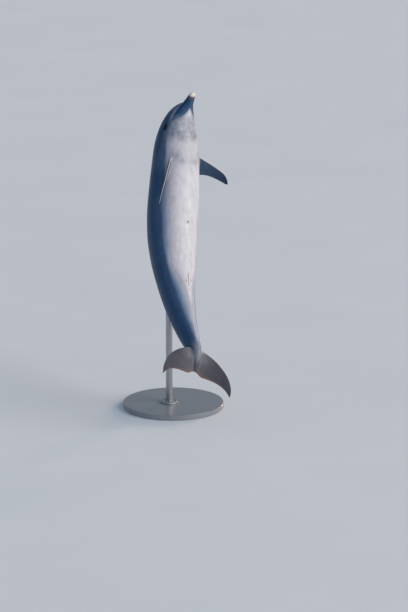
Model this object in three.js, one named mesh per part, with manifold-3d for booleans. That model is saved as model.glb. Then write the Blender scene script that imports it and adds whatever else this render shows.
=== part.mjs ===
// A life-size bottlenose dolphin, leaping upright with its tail swung forward and its head a
// little turned, on a plain display stand. Units are millimetres, +Z is up, the floor is z = 0,
// the belly faces -Y and the animal's left is +X. The body is lofted whole along a flexed spine,
// the fins are lofted blades, and thin cuts part them into the pieces that have names.
import * as THREE from "three";
import { mergeVertices } from "three/addons/utils/BufferGeometryUtils.js";
import Module from "manifold-3d";

const wasm = await Module();
wasm.setup();

// Driving dimensions
const bodyLength = 2500; // beak tip to fluke notch, along the spine
const chestStation = 1000; // the station whose spine point is chestPoint
const chestPoint = new THREE.Vector3(45.4, 290.1, 1760);
const partingGap = 0.3; // between pieces that meet
const ringSides = 32;
const ringStep = 55; // between rings of the trunk
const headRingStep = 24;
const headLength = 520;
const tailStockStart = 1720;

// How the spine is flexed: [station, degrees]. Pitch tips a stretch's headward end to the belly,
// yaw tips it to the animal's left, and roll turns the section about the spine.
const pitchStations = [
  [0, 19], [150, 11], [300, 4], [600, -6], [1000, -15],
  [1400, -23], [1800, -31], [2250, -42], [2400, -37], [2500, -37],
];
const yawStations = [
  [0, 9], [300, 11], [600, 9], [1000, 15], [1500, 11],
  [1900, 7], [2150, 5], [2250, 2], [2400, 31], [2500, 31],
];
const rollStations = [[0, 5], [360, 5], [700, 2], [1000, 2], [2250, 6], [2400, 0], [2500, 0]];

// The body's section at each station: half breadth, the back's and the belly's height over the
// spine, the height where it is broadest, and how square it is (2 is an ellipse, less is keeled).
const bodySections = [
  { at: 0, breadth: 12, back: -43, belly: -62, middle: -53, square: 2 },
  { at: 6, breadth: 23, back: -36, belly: -70, middle: -53, square: 2 },
  { at: 22, breadth: 30, back: -29, belly: -74, middle: -51, square: 2.1 },
  { at: 55, breadth: 36, back: -20, belly: -75, middle: -47, square: 2.2 },
  { at: 95, breadth: 45, back: -8, belly: -73, middle: -39, square: 2.2 },
  { at: 118, breadth: 55, back: 8, belly: -71, middle: -30, square: 2.1 },
  { at: 142, breadth: 68, back: 39, belly: -73, middle: -23, square: 2 },
  { at: 175, breadth: 85, back: 76, belly: -80, middle: -15, square: 2 },
  { at: 230, breadth: 110, back: 119, belly: -93, middle: -6, square: 2 },
  { at: 300, breadth: 138, back: 151, belly: -113, middle: -2, square: 2 },
  { at: 380, breadth: 163, back: 174, belly: -139, middle: 0, square: 2 },
  { at: 500, breadth: 187, back: 193, belly: -173, middle: 0, square: 2 },
  { at: 650, breadth: 200, back: 201, belly: -200, middle: 0, square: 2 },
  { at: 850, breadth: 211, back: 210, belly: -219, middle: 0, square: 2.05 },
  { at: 1050, breadth: 215, back: 214, belly: -227, middle: 0, square: 2.05 },
  { at: 1250, breadth: 211, back: 212, belly: -224, middle: 0, square: 2 },
  { at: 1450, breadth: 191, back: 199, belly: -204, middle: 0, square: 2 },
  { at: 1650, breadth: 160, back: 182, belly: -182, middle: 0, square: 1.9 },
  { at: 1850, breadth: 124, back: 161, belly: -156, middle: 0, square: 1.85 },
  { at: 2050, breadth: 87, back: 132, belly: -124, middle: 0, square: 1.8 },
  { at: 2200, breadth: 60, back: 103, belly: -96, middle: 0, square: 1.8 },
  { at: 2320, breadth: 43, back: 74, belly: -67, middle: 0, square: 1.9 },
  { at: 2420, breadth: 28, back: 37, belly: -36, middle: 0, square: 2 },
  { at: 2500, breadth: 11, back: 10, belly: -10, middle: 0, square: 2 },
];

// Where the mouth lies, as [station, height over the spine], and where the jaw ends under it.
const gapeLine = [[-40, -61], [0, -57], [60, -50], [120, -42], [200, -31], [285, -15]];
const jaw = { end: 330, endRoof: -75, halfWidth: 260, depth: 400 };

const eye = { station: 345, turn: 88, radius: 18, depth: 12 }; // turn counts from the back
const blowhole = { station: 372, width: 34, arch: 12, groove: 2.5 };

// Fin outlines as [outward, rearward] points: the leading edge and the trailing edge, root to
// tip. Thickness is a share of the chord, at the root and at the tip.
const flipper = {
  leading: [[-74, -14], [0, 0], [52, 23], [115, 52], [210, 102], [289, 150], [331, 200], [345, 237]],
  trailing: [[-74, 172], [0, 160], [63, 155], [137, 168], [220, 196], [284, 223], [320, 239], [345, 245]],
  thickness: [0.19, 0.14],
  sections: 12,
};
const dorsalFin = {
  leading: [[-90, -85], [0, 0], [55, 60], [102, 118], [143, 188], [168, 250], [178, 300]],
  trailing: [[-90, 365], [0, 352], [42, 314], [88, 292], [130, 288], [160, 297], [178, 309]],
  thickness: [0.13, 0.12],
  sections: 10,
};
const fluke = {
  leading: [
    [0, -240], [50, -212], [105, -191], [170, -152], [232, -92],
    [281, -25], [309, 45], [321, 105], [319, 160],
  ],
  trailing: [
    [0, -2], [14, 20], [45, 32], [90, 38], [145, 43],
    [205, 61], [256, 92], [292, 130], [313, 166],
  ],
  thickness: [0.16, 0.12],
  sections: 13,
};
const chordPoints = 8; // on each face of a blade
const leastEdge = 1.5; // half the least thickness between a blade's two edges

// Where each fin stands: its root's station and turn, and the lift to the back, the rearward
// sweep and the twist, in degrees, that set its blade. The left flipper is held out and the
// right one folded back. The dorsal fin leans a little to the left.
const flipperLeft = { station: 581, turn: 121.5, side: 1, lift: -6, sweep: -1.5, twist: 13 };
const flipperRight = { station: 587, turn: 230, side: -1, lift: -42.5, sweep: 34, twist: 12 };
const dorsalRoot = { from: 1055, to: 1407, lean: 10 };
const flukes = { station: bodyLength - 25, droop: 75, droopPower: 1.8 };

const base = { x: 10, y: 240, radius: 430, height: 45, bevel: 6 };
const rod = { x: -35, y: 240, radius: 28 };
const rodFlange = { radius: 75, height: 24 };
const rodCup = { radius: 52, height: 90 };

const spinePitch = smoothThrough(pitchStations);
const spineYaw = smoothThrough(yawStations);
const spineRoll = smoothThrough(rollStations);
const sectionSize = {};
for (const size of ["breadth", "back", "belly", "middle", "square"]) {
  sectionSize[size] = smoothThrough(bodySections.map((section) => [section.at, section[size]]));
}

// A curve through [x, y] pairs that never swings past them (a monotone cubic).
function smoothThrough(pairs) {
  const slopes = pairs.slice(1).map(([x, y], i) => (y - pairs[i][1]) / (x - pairs[i][0]));
  const tangents = pairs.map((_, i) => {
    if (i === 0) return slopes[0];
    if (i === pairs.length - 1) return slopes[i - 1];
    const [before, after] = [slopes[i - 1], slopes[i]];
    return before * after <= 0 ? 0 : (2 * before * after) / (before + after);
  });
  return (x) => {
    const above = pairs.findIndex(([end]) => end > x);
    const i = above < 0 ? pairs.length - 2 : Math.max(above - 1, 0);
    const [[startX, startY], [endX, endY]] = [pairs[i], pairs[i + 1]];
    const width = endX - startX;
    const t = THREE.MathUtils.clamp((x - startX) / width, 0, 1);
    const blend = t * t * (3 - 2 * t);
    const bow = t * (1 - t) ** 2 * tangents[i] - t * t * (1 - t) * tangents[i + 1];
    return (1 - blend) * startY + blend * endY + width * bow;
  };
}

// The unit vector at an angle between two that are square to each other.
function turned(from, towards, degrees) {
  const angle = THREE.MathUtils.degToRad(degrees);
  return from.clone().multiplyScalar(Math.cos(angle)).addScaledVector(towards, Math.sin(angle));
}

// The spine's directions at a station: headward, to the animal's left, and to its back.
function spineDirections(station) {
  const side = new THREE.Vector3(1, 0, 0);
  const ahead = new THREE.Vector3(0, -1, 0);
  const up = new THREE.Vector3(0, 0, 1);
  const rising = turned(up, ahead, spinePitch(station));
  const behind = turned(ahead.negate(), up, spinePitch(station));
  const head = turned(rising, side, spineYaw(station));
  const level = turned(side, rising.negate(), spineYaw(station));
  return {
    head,
    left: turned(level, behind, spineRoll(station)),
    back: turned(behind, level.clone().negate(), spineRoll(station)),
  };
}

const spineStep = 5;
const spinePoints = layOutSpine();

function layOutSpine() {
  const points = [new THREE.Vector3()];
  for (let station = spineStep; station <= bodyLength; station += spineStep) {
    const { head } = spineDirections(station - spineStep / 2);
    points.push(points.at(-1).clone().addScaledVector(head, -spineStep));
  }
  const shift = chestPoint.clone().sub(points[chestStation / spineStep]);
  return points.map((point) => point.add(shift));
}

function spineFrame(station) {
  const position = THREE.MathUtils.clamp(station / spineStep, 0, spinePoints.length - 1);
  const below = Math.min(Math.floor(position), spinePoints.length - 2);
  const at = spinePoints[below].clone().lerp(spinePoints[below + 1], position - below);
  return { at, ...spineDirections(station) };
}

// A point of the body's surface: turn is 0 on the back, 90 on the left and 180 on the belly.
// Proud moves it outwards.
function bodyPoint(station, turn, proud = 0) {
  const { at, left, back } = spineFrame(station);
  const angle = THREE.MathUtils.degToRad(turn);
  const [sine, cosine] = [Math.sin(angle), Math.cos(angle)];
  const power = 2 / sectionSize.square(station);
  const middle = sectionSize.middle(station);
  const crown = cosine > 0 ? sectionSize.back(station) - middle : middle - sectionSize.belly(station);
  const across = Math.sign(sine) * Math.abs(sine) ** power * (sectionSize.breadth(station) + proud);
  const up = Math.sign(cosine) * Math.abs(cosine) ** power * (crown + proud);
  return at.addScaledVector(left, across).addScaledVector(back, middle + up);
}

// A three.js geometry as a solid that can be cut.
function solid(geometry) {
  geometry.deleteAttribute("normal");
  geometry.deleteAttribute("uv");
  const merged = mergeVertices(geometry, 1e-4);
  const mesh = new wasm.Mesh({
    numProp: 3,
    vertProperties: new Float32Array(merged.attributes.position.array),
    triVerts: new Uint32Array(merged.index.array),
  });
  return new wasm.Manifold(mesh);
}

// A solid through rings of equal count, closed at both ends.
function loft(rings) {
  const sides = rings[0].length;
  const corners = rings.flat();
  const faces = [];
  for (let ring = 1; ring < rings.length; ring++) {
    for (let i = 0; i < sides; i++) {
      const [a, b] = [(ring - 1) * sides + i, (ring - 1) * sides + ((i + 1) % sides)];
      faces.push([a, b, b + sides], [a, b + sides, a + sides]);
    }
  }
  for (const ring of [0, rings.length - 1]) {
    const hub = corners.length;
    const centre = new THREE.Vector3();
    rings[ring].forEach((point) => centre.addScaledVector(point, 1 / sides));
    corners.push(centre);
    for (let i = 0; i < sides; i++) {
      const [a, b] = [ring * sides + i, ring * sides + ((i + 1) % sides)];
      faces.push(ring === 0 ? [hub, b, a] : [hub, a, b]);
    }
  }
  const geometry = new THREE.BufferGeometry().setFromPoints(corners);
  geometry.setIndex(faces.flat());
  const made = solid(geometry.clone());
  if (made.volume() > 0) return made;
  geometry.setIndex(faces.flatMap(([a, b, c]) => [a, c, b]));
  return solid(geometry);
}

function bodySolid(proud = 0) {
  const stations = bodySections.filter(({ at }) => at < 150).map(({ at }) => at);
  while (stations.at(-1) < bodyLength) {
    const step = stations.at(-1) < headLength ? headRingStep : ringStep;
    stations.push(Math.min(stations.at(-1) + step, bodyLength));
  }
  const turns = Array.from({ length: ringSides }, (_, i) => (i * 360) / ringSides);
  return loft(stations.map((station) => turns.map((turn) => bodyPoint(station, turn, proud))));
}

// Half the thickness of a streamlined section along its chord, as a share of its greatest.
function streamline(share) {
  const bulge = 2.969 * Math.sqrt(share) - 1.26 * share;
  return bulge - 3.516 * share ** 2 + 2.843 * share ** 3 - 1.015 * share ** 4;
}

// A fin's directions where it leaves the body.
function finDirections({ station, side, lift = 0, sweep = 0, twist = 0 }) {
  const { head, left, back } = spineDirections(station);
  const level = turned(left.multiplyScalar(side), back, lift);
  const outward = turned(level, head.clone().negate(), sweep);
  const rearward = turned(head.negate(), level.negate(), sweep);
  rearward.applyAxisAngle(outward, THREE.MathUtils.degToRad(side * twist));
  const normal = outward.clone().cross(rearward).multiplyScalar(side);
  return { outward, rearward, normal };
}

// A fin's blade from its outline, with a streamlined section. A bend moves it along its normal,
// by a distance that depends on how far out a point lies, from 0 at the root to 1 at the tip.
function blade(shape, root, { outward, rearward, normal }, bend = () => 0) {
  const edge = (points) => new THREE.SplineCurve(points.map(([out, rear]) => new THREE.Vector2(out, rear)));
  const [leading, trailing] = [edge(shape.leading), edge(shape.trailing)];
  const reach = shape.leading.at(-1)[0];
  const rings = [];
  for (let section = 0; section <= shape.sections; section++) {
    const along = section / shape.sections;
    const [front, rear] = [leading.getPoint(along), trailing.getPoint(along)];
    const thickness = front.distanceTo(rear) * THREE.MathUtils.lerp(...shape.thickness, along);
    const ring = [];
    for (let i = 0; i < 2 * chordPoints; i++) {
      const turn = (i * Math.PI) / chordPoints;
      const share = (1 - Math.cos(turn)) / 2;
      const onEdge = i % chordPoints === 0;
      const half = onEdge ? 0 : Math.max((thickness / 2) * streamline(share), leastEdge);
      const point = front.clone().lerp(rear, share);
      const height = Math.sign(Math.PI - turn) * half + bend(Math.max(point.x / reach, 0));
      const placed = root.clone().addScaledVector(outward, point.x).addScaledVector(rearward, point.y);
      ring.push(placed.addScaledVector(normal, height));
    }
    rings.push(ring);
  }
  return loft(rings);
}

function flipperSolid(set) {
  return blade(flipper, bodyPoint(set.station, set.turn), finDirections(set));
}

function dorsalFinSolid() {
  const { from, to, lean } = dorsalRoot;
  const front = bodyPoint(from, 0);
  const rearward = bodyPoint(to, 0).sub(front).normalize();
  const { outward } = finDirections({ station: (from + to) / 2, side: 1, lift: 90 - lean });
  outward.addScaledVector(rearward, -outward.dot(rearward)).normalize();
  const normal = outward.clone().cross(rearward);
  return blade(dorsalFin, front, { outward, rearward, normal });
}

function flukeSolid(side) {
  const directions = finDirections({ station: flukes.station, side });
  const droop = (share) => -flukes.droop * share ** flukes.droopPower;
  const notch = spineFrame(bodyLength).at.addScaledVector(directions.outward, partingGap / 2);
  return blade(fluke, notch, directions, droop);
}

// Half of space: all that lies on the headward side of a station, moved along the spine.
function headwardOf(station, shift) {
  const { at, head } = spineFrame(station);
  const size = 2 * bodyLength;
  const block = new THREE.BoxGeometry(size, size, size).translate(0, 0, size / 2 + shift);
  block.applyQuaternion(new THREE.Quaternion().setFromUnitVectors(new THREE.Vector3(0, 0, 1), head));
  return solid(block.translate(at.x, at.y, at.z));
}

// Everything below the mouth line and ahead of the throat, grown by a distance.
function jawSpace(grown) {
  const gapeHeight = smoothThrough(gapeLine);
  const stations = [-40, 0, 30, 60, 90, 120, 160, 200, 240, 285];
  const section = (at, left, back, roof) => {
    const corners = [[-1, roof + grown], [-1, roof - jaw.depth], [1, roof - jaw.depth], [1, roof + grown]];
    return corners.map(([side, up]) => {
      return at.clone().addScaledVector(left, side * jaw.halfWidth).addScaledVector(back, up);
    });
  };
  const rings = stations.map((station) => {
    const { at, head, left, back } = spineFrame(Math.max(station, 0));
    return section(at.addScaledVector(head, Math.max(-station, 0)), left, back, gapeHeight(station));
  });
  const { at, head, left, back } = spineFrame(jaw.end);
  rings.push(section(at.addScaledVector(head, -grown), left, back, jaw.endRoof));
  return loft(rings);
}

function eyeBall(side, radius) {
  const skin = bodyPoint(eye.station, side * eye.turn);
  const inward = spineFrame(eye.station).at.sub(skin).normalize();
  const centre = skin.addScaledVector(inward, eye.depth);
  return solid(new THREE.SphereGeometry(radius, 16, 8).translate(centre.x, centre.y, centre.z));
}

// The crescent groove on top of the head, its horns pointing forward.
function blowholeGroove() {
  const { head, left } = spineFrame(blowhole.station);
  const crown = bodyPoint(blowhole.station, 0);
  const outward = crown.clone().sub(spineFrame(blowhole.station).at).normalize();
  const shares = [-1, -0.6, -0.3, 0, 0.3, 0.6, 1];
  const rings = shares.map((share) => {
    const centre = crown.clone().addScaledVector(left, (share * blowhole.width) / 2);
    centre.addScaledVector(head, (share ** 2 - 0.5) * blowhole.arch);
    const size = blowhole.groove * (1 - 0.6 * share ** 2);
    return Array.from({ length: 8 }, (_, i) => {
      const round = turned(head, outward, i * 45).multiplyScalar(size);
      return centre.clone().add(round).addScaledVector(outward, 0.6 * round.dot(outward));
    });
  });
  return loft(rings);
}

// A disc or rod standing upright, from one height to another.
function upright({ x, y, radius }, from, to, topRadius = radius, sides = 24) {
  const geometry = new THREE.CylinderGeometry(topRadius, radius, to - from, sides);
  return solid(geometry.rotateX(Math.PI / 2).translate(x, y, (from + to) / 2));
}

function largest(made) {
  return made.decompose().sort((a, b) => b.volume() - a.volume())[0];
}

// The height at which the rod's line meets the underside of the body.
function rodReach(animal) {
  const line = upright({ ...rod, radius: 1 }, base.height, chestPoint.z).subtract(animal);
  const lowest = line.decompose().sort((a, b) => a.boundingBox().min[2] - b.boundingBox().min[2])[0];
  return lowest.boundingBox().max[2];
}

const darkSkin = { color: "#5f7085", roughness: 0.4, metalness: 0 };
const paleSkin = { color: "#c3c0c8", roughness: 0.4, metalness: 0 };
const tailSkin = { color: "#64646c", roughness: 0.4, metalness: 0 };
const eyeGloss = { color: "#15110f", roughness: 0.08, metalness: 0 };
const steel = { color: "#a9adb2", roughness: 0.35, metalness: 1 };
const greyPaint = { color: "#8c8e92", roughness: 0.5, metalness: 0 };

// A named piece of the model, as one mesh standing at a place of its own.
function piece(name, made, look, origin = new THREE.Vector3()) {
  const { numProp, numVert, vertProperties, triVerts } = largest(made).getMesh();
  const positions = new Float32Array(numVert * 3);
  for (let i = 0; i < numVert; i++) {
    positions.set(vertProperties.subarray(i * numProp, i * numProp + 3), i * 3);
  }
  const geometry = new THREE.BufferGeometry();
  geometry.setAttribute("position", new THREE.BufferAttribute(positions, 3));
  geometry.setIndex(new THREE.BufferAttribute(new Uint32Array(triVerts), 1));
  geometry.translate(-origin.x, -origin.y, -origin.z);
  const mesh = new THREE.Mesh(geometry, new THREE.MeshStandardMaterial(look));
  mesh.name = name;
  mesh.position.copy(origin);
  return mesh;
}

const whole = bodySolid();
const proudBody = bodySolid(partingGap);

function makeHead() {
  const ahead = whole.intersect(headwardOf(headLength, partingGap / 2));
  const sockets = [1, -1].map((side) => eyeBall(side, eye.radius + partingGap));
  const cuts = [jawSpace(partingGap), ...sockets, blowholeGroove()];
  const skull = cuts.reduce((made, cut) => made.subtract(cut), ahead);
  return new THREE.Group().add(
    piece("head", skull, darkSkin),
    piece("lower_jaw", whole.intersect(jawSpace(0)), paleSkin),
    piece("eye_left", eyeBall(1, eye.radius), eyeGloss),
    piece("eye_right", eyeBall(-1, eye.radius), eyeGloss),
  );
}

function makeTrunk() {
  const behindHead = whole.subtract(headwardOf(headLength, -partingGap / 2));
  const trunk = behindHead.intersect(headwardOf(tailStockStart, partingGap / 2));
  return new THREE.Group().add(
    piece("trunk", trunk, paleSkin),
    piece("flipper_left", flipperSolid(flipperLeft).subtract(proudBody), darkSkin),
    piece("flipper_right", flipperSolid(flipperRight).subtract(proudBody), darkSkin),
    piece("dorsal_fin", dorsalFinSolid().subtract(proudBody), darkSkin),
  );
}

function makeTail() {
  const tailStock = whole.subtract(headwardOf(tailStockStart, -partingGap / 2));
  return new THREE.Group().add(
    piece("tail_stock", tailStock, darkSkin),
    piece("fluke_left", flukeSolid(1).subtract(proudBody), tailSkin),
    piece("fluke_right", flukeSolid(-1).subtract(proudBody), tailSkin),
  );
}

function makeStand() {
  const foot = base.height + partingGap;
  const bevelFoot = base.height - base.bevel;
  const cupTop = rodReach(proudBody);
  const cupFoot = cupTop - rodCup.height;
  const bevel = upright(base, bevelFoot, base.height, base.radius - base.bevel, 48);
  const plinth = upright(base, 0, bevelFoot, base.radius, 48).add(bevel);
  const post = upright(rod, foot, cupFoot - partingGap);
  const bore = upright({ ...rod, radius: rod.radius + partingGap }, 0, cupFoot);
  const flange = upright({ ...rod, radius: rodFlange.radius }, foot, base.height + rodFlange.height);
  const cup = upright({ ...rod, radius: rodCup.radius }, cupFoot, cupTop + 4 * rodCup.radius);
  const [baseAt, rodAt] = [base, rod].map(({ x, y }) => new THREE.Vector3(x, y, 0));
  return new THREE.Group().add(
    piece("stand_base", plinth, greyPaint, baseAt),
    piece("stand_rod", post, steel, rodAt),
    piece("stand_flange", flange.subtract(bore), steel, rodAt),
    piece("stand_cup", cup.subtract(proudBody), steel, rodAt),
  );
}

const animal = new THREE.Group().add(makeHead(), makeTrunk(), makeTail());
const dolphin = new THREE.Group().add(animal, makeStand());

export default dolphin;
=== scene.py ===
import math

import bmesh
import bpy
import numpy as np
from mathutils import Matrix, Vector
from mathutils.bvhtree import BVHTree


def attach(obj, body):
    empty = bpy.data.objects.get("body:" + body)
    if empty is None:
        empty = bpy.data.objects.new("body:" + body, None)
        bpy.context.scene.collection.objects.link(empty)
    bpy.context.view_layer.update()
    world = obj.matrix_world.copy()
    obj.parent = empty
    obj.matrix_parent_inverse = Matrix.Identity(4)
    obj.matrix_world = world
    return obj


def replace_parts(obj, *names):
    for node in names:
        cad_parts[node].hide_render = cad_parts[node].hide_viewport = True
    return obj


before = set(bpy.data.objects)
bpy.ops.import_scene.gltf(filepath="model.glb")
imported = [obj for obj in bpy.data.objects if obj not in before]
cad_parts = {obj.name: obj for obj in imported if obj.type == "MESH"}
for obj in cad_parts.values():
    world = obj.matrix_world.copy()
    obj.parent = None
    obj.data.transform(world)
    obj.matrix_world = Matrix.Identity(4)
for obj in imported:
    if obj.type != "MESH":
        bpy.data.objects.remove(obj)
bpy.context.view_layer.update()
print("frame loaded")

mm = 0.001  # pieces are shaped in millimetres and scaled once when they are done

camera = {
    "azimuth": -36.5,  # degrees from the front, to the animal's right
    "elevation": 15,
    "distance": 30.0,  # metres: far off, through a long lens
    "frameHeight": 5.182,  # metres seen at that distance
    "sensorHeight": 36,  # millimetres
    "clipEnd": 500,
    "chest": (0.0454, 0.2901, 1.760),
    "rightOfChest": 0.2625,  # where the middle of the frame lies
    "belowChest": 0.8552,
}


def makeCamera(view):
    azimuth, elevation = math.radians(view["azimuth"]), math.radians(view["elevation"])
    level = math.cos(elevation)
    right = Vector((math.cos(azimuth), math.sin(azimuth), 0))
    back = Vector((math.sin(azimuth) * level, -math.cos(azimuth) * level, math.sin(elevation)))
    up = back.cross(right)
    middle = Vector(view["chest"]) + right * view["rightOfChest"] - up * view["belowChest"]
    data = bpy.data.cameras.new("camera")
    data.sensor_fit = "VERTICAL"
    data.sensor_height = view["sensorHeight"]
    data.lens = view["sensorHeight"] * view["distance"] / view["frameHeight"]
    data.clip_end = view["clipEnd"]
    made = bpy.data.objects.new("camera", data)
    turn = Matrix((right, up, back)).transposed().to_4x4()
    made.matrix_world = Matrix.Translation(middle + back * view["distance"]) @ turn
    bpy.context.scene.collection.objects.link(made)
    bpy.context.scene.camera = made


makeCamera(camera)
print("camera placed")


def smoothThrough(pairs):
    # a curve through (x, y) pairs that never swings past them
    slopes = [(b[1] - a[1]) / (b[0] - a[0]) for a, b in zip(pairs, pairs[1:])]
    tangents = [0 if a * b <= 0 else 2 * a * b / (a + b) for a, b in zip(slopes, slopes[1:])]
    tangents = [slopes[0], *tangents, slopes[-1]]

    def curve(x):
        i = max(0, min(len(pairs) - 2, sum(1 for start, _ in pairs if start <= x) - 1))
        (startX, startY), (endX, endY) = pairs[i], pairs[i + 1]
        width = endX - startX
        t = max(0.0, min(1.0, (x - startX) / width))
        blend = t * t * (3 - 2 * t)
        bow = t * (1 - t) ** 2 * tangents[i] - t * t * (1 - t) * tangents[i + 1]
        return (1 - blend) * startY + blend * endY + width * bow

    return curve


def turned(start, towards, degrees):
    angle = math.radians(degrees)
    return start * math.cos(angle) + towards * math.sin(angle)


def softStep(low, high, values):
    t = np.clip((values - low) / (high - low), 0, 1)
    return t * t * (3 - 2 * t)


def loopOf(bm, ring):
    return [bm.edges.get((ring[i - 1], ring[i])) for i in range(len(ring))]


def extrudeRings(bm, count, segments):
    # a tube without a shape yet: each ring is drawn out of the one before
    ring = bmesh.ops.create_circle(bm, segments=segments, radius=1)["verts"]
    rings = [ring]
    for _ in range(count - 1):
        made = set(bmesh.ops.extrude_edge_only(bm, edges=loopOf(bm, ring))["geom"])
        ring = [next(e.other_vert(v) for e in v.link_edges if e.other_vert(v) in made) for v in ring]
        rings.append(ring)
    return rings


def objectFrom(bm, name):
    mesh = bpy.data.meshes.new(name)
    bm.to_mesh(mesh)
    bm.free()
    made = bpy.data.objects.new(name, mesh)
    bpy.context.scene.collection.objects.link(made)
    return made


def shadeSmooth(thing):
    for polygon in thing.data.polygons:
        polygon.use_smooth = True


# Stations run along the spine from the beak tip (0) to the fluke notch (2500), in millimetres.
body = {
    "length": 2500,
    "chestStation": 1000,
    "chestPoint": (45.4, 290.1, 1760),
    "spineStep": 5,
    "searchRounds": 6,
    # station and degrees
    "pitch": [
        (0, 19), (150, 11), (300, 4), (600, -6), (1000, -15), (1400, -23), (1800, -31), (2250, -42),
        (2400, -37), (2500, -37),
    ],
    "yaw": [
        (0, 9), (300, 11), (600, 9), (1000, 15), (1500, 11), (1900, 7), (2150, 5), (2250, 2), (2400, 31),
        (2500, 31),
    ],
    "roll": [(0, 5), (360, 5), (700, 2), (1000, 2), (2250, 6), (2400, 0), (2500, 0)],
    # station, half breadth, back and belly over the spine, the broadest height, squareness
    "sections": [
        (0, 12, -43, -62, -53, 2), (6, 23, -36, -70, -53, 2), (22, 30, -29, -74, -51, 2.1),
        (55, 36, -20, -75, -47, 2.2), (95, 45, -8, -73, -39, 2.2), (118, 55, 8, -71, -30, 2.1),
        (142, 68, 39, -73, -23, 2), (175, 85, 76, -80, -15, 2), (230, 110, 119, -93, -6, 2),
        (300, 138, 151, -113, -2, 2), (380, 163, 174, -139, 0, 2), (500, 187, 193, -173, 0, 2),
        (650, 200, 201, -200, 0, 2), (850, 211, 210, -219, 0, 2.05), (1050, 215, 214, -227, 0, 2.05),
        (1250, 211, 212, -224, 0, 2), (1450, 191, 199, -204, 0, 2), (1650, 160, 182, -182, 0, 1.9),
        (1850, 124, 161, -156, 0, 1.85), (2050, 87, 132, -124, 0, 1.8), (2200, 60, 103, -96, 0, 1.8),
        (2320, 43, 74, -67, 0, 1.9), (2420, 28, 37, -36, 0, 2), (2500, 11, 10, -10, 0, 2),
    ],
}
pitch, yaw, roll = (smoothThrough(body[bend]) for bend in ("pitch", "yaw", "roll"))
breadth, back, belly, middle, square = (
    smoothThrough([(row[0], row[i]) for row in body["sections"]]) for i in range(1, 6)
)


def spineDirections(station):
    # headward, to the animal's left, and to its back
    side, front, up = Vector((1, 0, 0)), Vector((0, -1, 0)), Vector((0, 0, 1))
    rising = turned(up, front, pitch(station))
    behind = turned(-front, up, pitch(station))
    head = turned(rising, side, yaw(station))
    level = turned(side, -rising, yaw(station))
    return head, turned(level, behind, roll(station)), turned(behind, -level, roll(station))


def layOutSpine():
    step = body["spineStep"]
    points = [Vector((0, 0, 0))]
    for i in range(body["length"] // step):
        points.append(points[-1] - spineDirections((i + 0.5) * step)[0] * step)
    shift = Vector(body["chestPoint"]) - points[body["chestStation"] // step]
    return [point + shift for point in points]


spinePoints = layOutSpine()


def spineFrame(station):
    place = max(0.0, min(station / body["spineStep"], len(spinePoints) - 1))
    below = min(int(place), len(spinePoints) - 2)
    return spinePoints[below].lerp(spinePoints[below + 1], place - below), *spineDirections(station)


def crown(station, rise):
    # how far the back or the belly stands from the broadest height
    return back(station) - middle(station) if rise > 0 else middle(station) - belly(station)


def bodyPoint(station, turn, proud=0.0):
    # turn is 0 on the back, 90 on the left and 180 on the belly
    at, _, left, up = spineFrame(station)
    sine, cosine = math.sin(math.radians(turn)), math.cos(math.radians(turn))
    power = 2 / square(station)
    across = math.copysign(abs(sine) ** power * (breadth(station) + proud), sine)
    rise = math.copysign(abs(cosine) ** power * (crown(station, cosine) + proud), cosine)
    return at + left * across + up * (middle(station) + rise)


def sectionPlace(point, station):
    # how far a point lies across and over the broadest height, as shares of the section
    at, _, left, up = spineFrame(station)
    across, rise = (point - at).dot(left), (point - at).dot(up) - middle(station)
    return across / breadth(station), rise / crown(station, rise)


def bodyPlace(point, station):
    # the station and turn under a point near the body, from a first guess
    for _ in range(body["searchRounds"]):
        at, head = spineFrame(station)[:2]
        station -= (point - at).dot(head)
        station = max(0.0, min(station, body["length"]))
    across, rise = sectionPlace(point, station)
    power = square(station) / 2
    sine = math.copysign(abs(across) ** power, across)
    cosine = math.copysign(abs(rise) ** power, rise)
    return station, math.degrees(math.atan2(sine, cosine)) % 360


def bodyLevel(point, station):
    # under 1 inside the body, 1 on its surface and over 1 outside
    station = bodyPlace(point, station)[0]
    power = square(station)
    return sum(abs(share) ** power for share in sectionPlace(point, station)) ** (1 / power)


skin = {
    "columns": 40,
    # the station of each ring of the cage
    "rows": [
        0, 5, 13, 25, 40, 57, 75, 92, 106, 117, 129, 144, 161, 180, 200, 220, 238, 254, 270, 285, 304, 324,
        345, 366, 386, 408, 434, 464, 494, 522, 548, 575, 603, 631, 660, 688, 717, 745, 772, 802, 840, 885,
        930, 975, 1015, 1050, 1095, 1139, 1183, 1227, 1271, 1315, 1360, 1410, 1452, 1500, 1550, 1600, 1650,
        1700, 1750, 1800, 1850, 1900, 1950, 2000, 2050, 2100, 2146, 2186, 2220, 2250, 2277, 2305, 2333,
        2361, 2389, 2417, 2445, 2472, 2496, 2500,
    ],
    "noseCap": 2.0,  # how far the rounded end stands ahead of the first row
    "capRing": 0.55,  # the size of its ring, as a share of the first row
    "fitting": 4,  # rounds that move the cage so that the smooth skin passes through its goals
    "levels": 2,
    "spreadAcross": 5,  # columns and rows over which a moved patch takes its neighbours along
    "spreadAlong": 3,
}
flanks = ((1, 10), (-1, 30))  # the sides, 1 for the animal's left, with the middle column of each
mouth = {
    # station and height over the spine
    "line": [(-40, -61), (0, -57), (60, -50), (120, -42), (200, -31), (285, -15)],
    "firstRow": 0, "lastRow": 19,
    "lip": 6.0, "lipTurn": 9,  # from the groove to each lip's crest, in mm and at most in degrees
    "depth": 4.5, "lipCrest": 0.8,
    "cornerRows": 2,  # the groove runs out over these rows at the mouth's corner
    "tipShare": 0.6, "tipRows": 4,  # and starts at this share of its depth at the beak's tip
}
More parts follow.
